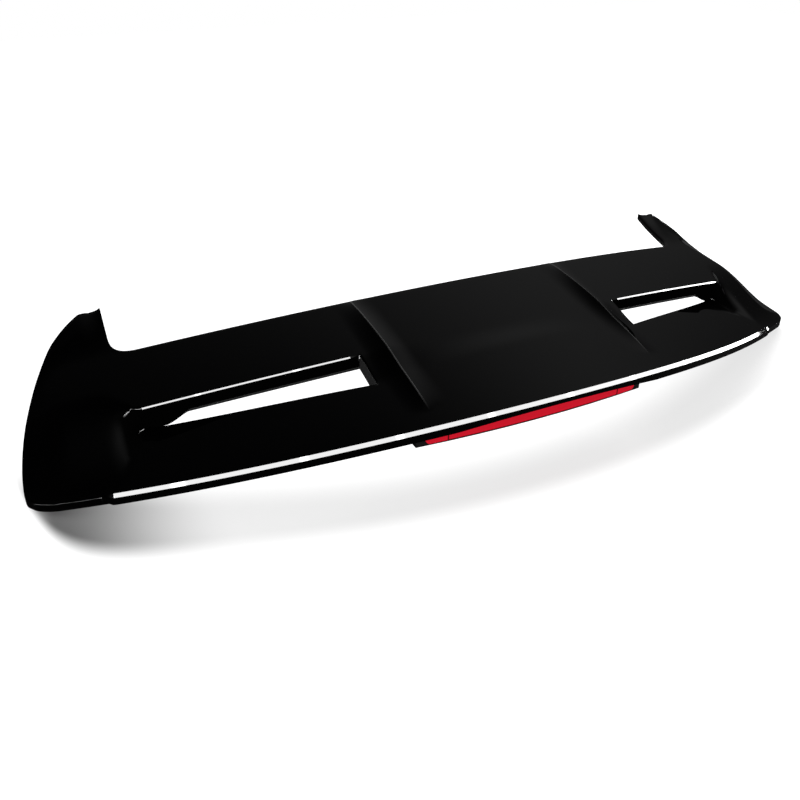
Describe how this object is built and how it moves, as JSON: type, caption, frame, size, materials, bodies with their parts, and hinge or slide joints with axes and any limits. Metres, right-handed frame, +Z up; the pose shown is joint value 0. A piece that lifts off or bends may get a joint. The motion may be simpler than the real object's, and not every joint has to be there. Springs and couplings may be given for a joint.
{
  "type": "rear roof spoiler",
  "caption": "Gloss black roof spoiler with two air slots, low fins either side of the centre panel and a red brake lamp under the lip; studs fix it to a tailgate.",
  "frame": {"origin": "midway between the two inner studs, on the plane of their seats", "axes": "+X to the right as seen from behind the car, +Y forward, +Z up, in the fitted attitude"},
  "size_m": [1.1941, 0.446, 0.1647],
  "materials": {
    "gloss_black": "high gloss",
    "matt_black": "fine grain",
    "red_lens": "clear gloss",
    "lamp_black": "satin",
    "bright": "mirror",
    "board": "satin",
    "diode": "gloss",
    "steel": "zinc plated",
    "foam": "foam"
  },
  "bodies": {
    "root": {"upper_skin": "gloss_black", "lower_skin": "matt_black", "skin_screws": "steel", "inner_studs": "steel", "outer_studs": "steel", "inner_stud_seals": "foam", "outer_stud_seals": "foam", "front_tape": "foam", "left_arm_tape": "foam", "right_arm_tape": "foam", "lamp_lens": "red_lens", "lamp_housing": "lamp_black", "lamp_reflector": "bright", "lamp_board": "board", "lamp_leds": "diode", "lamp_gasket": "foam", "lamp_screws": "steel", "lamp_connector": "lamp_black"}
  },
  "joints": []
}
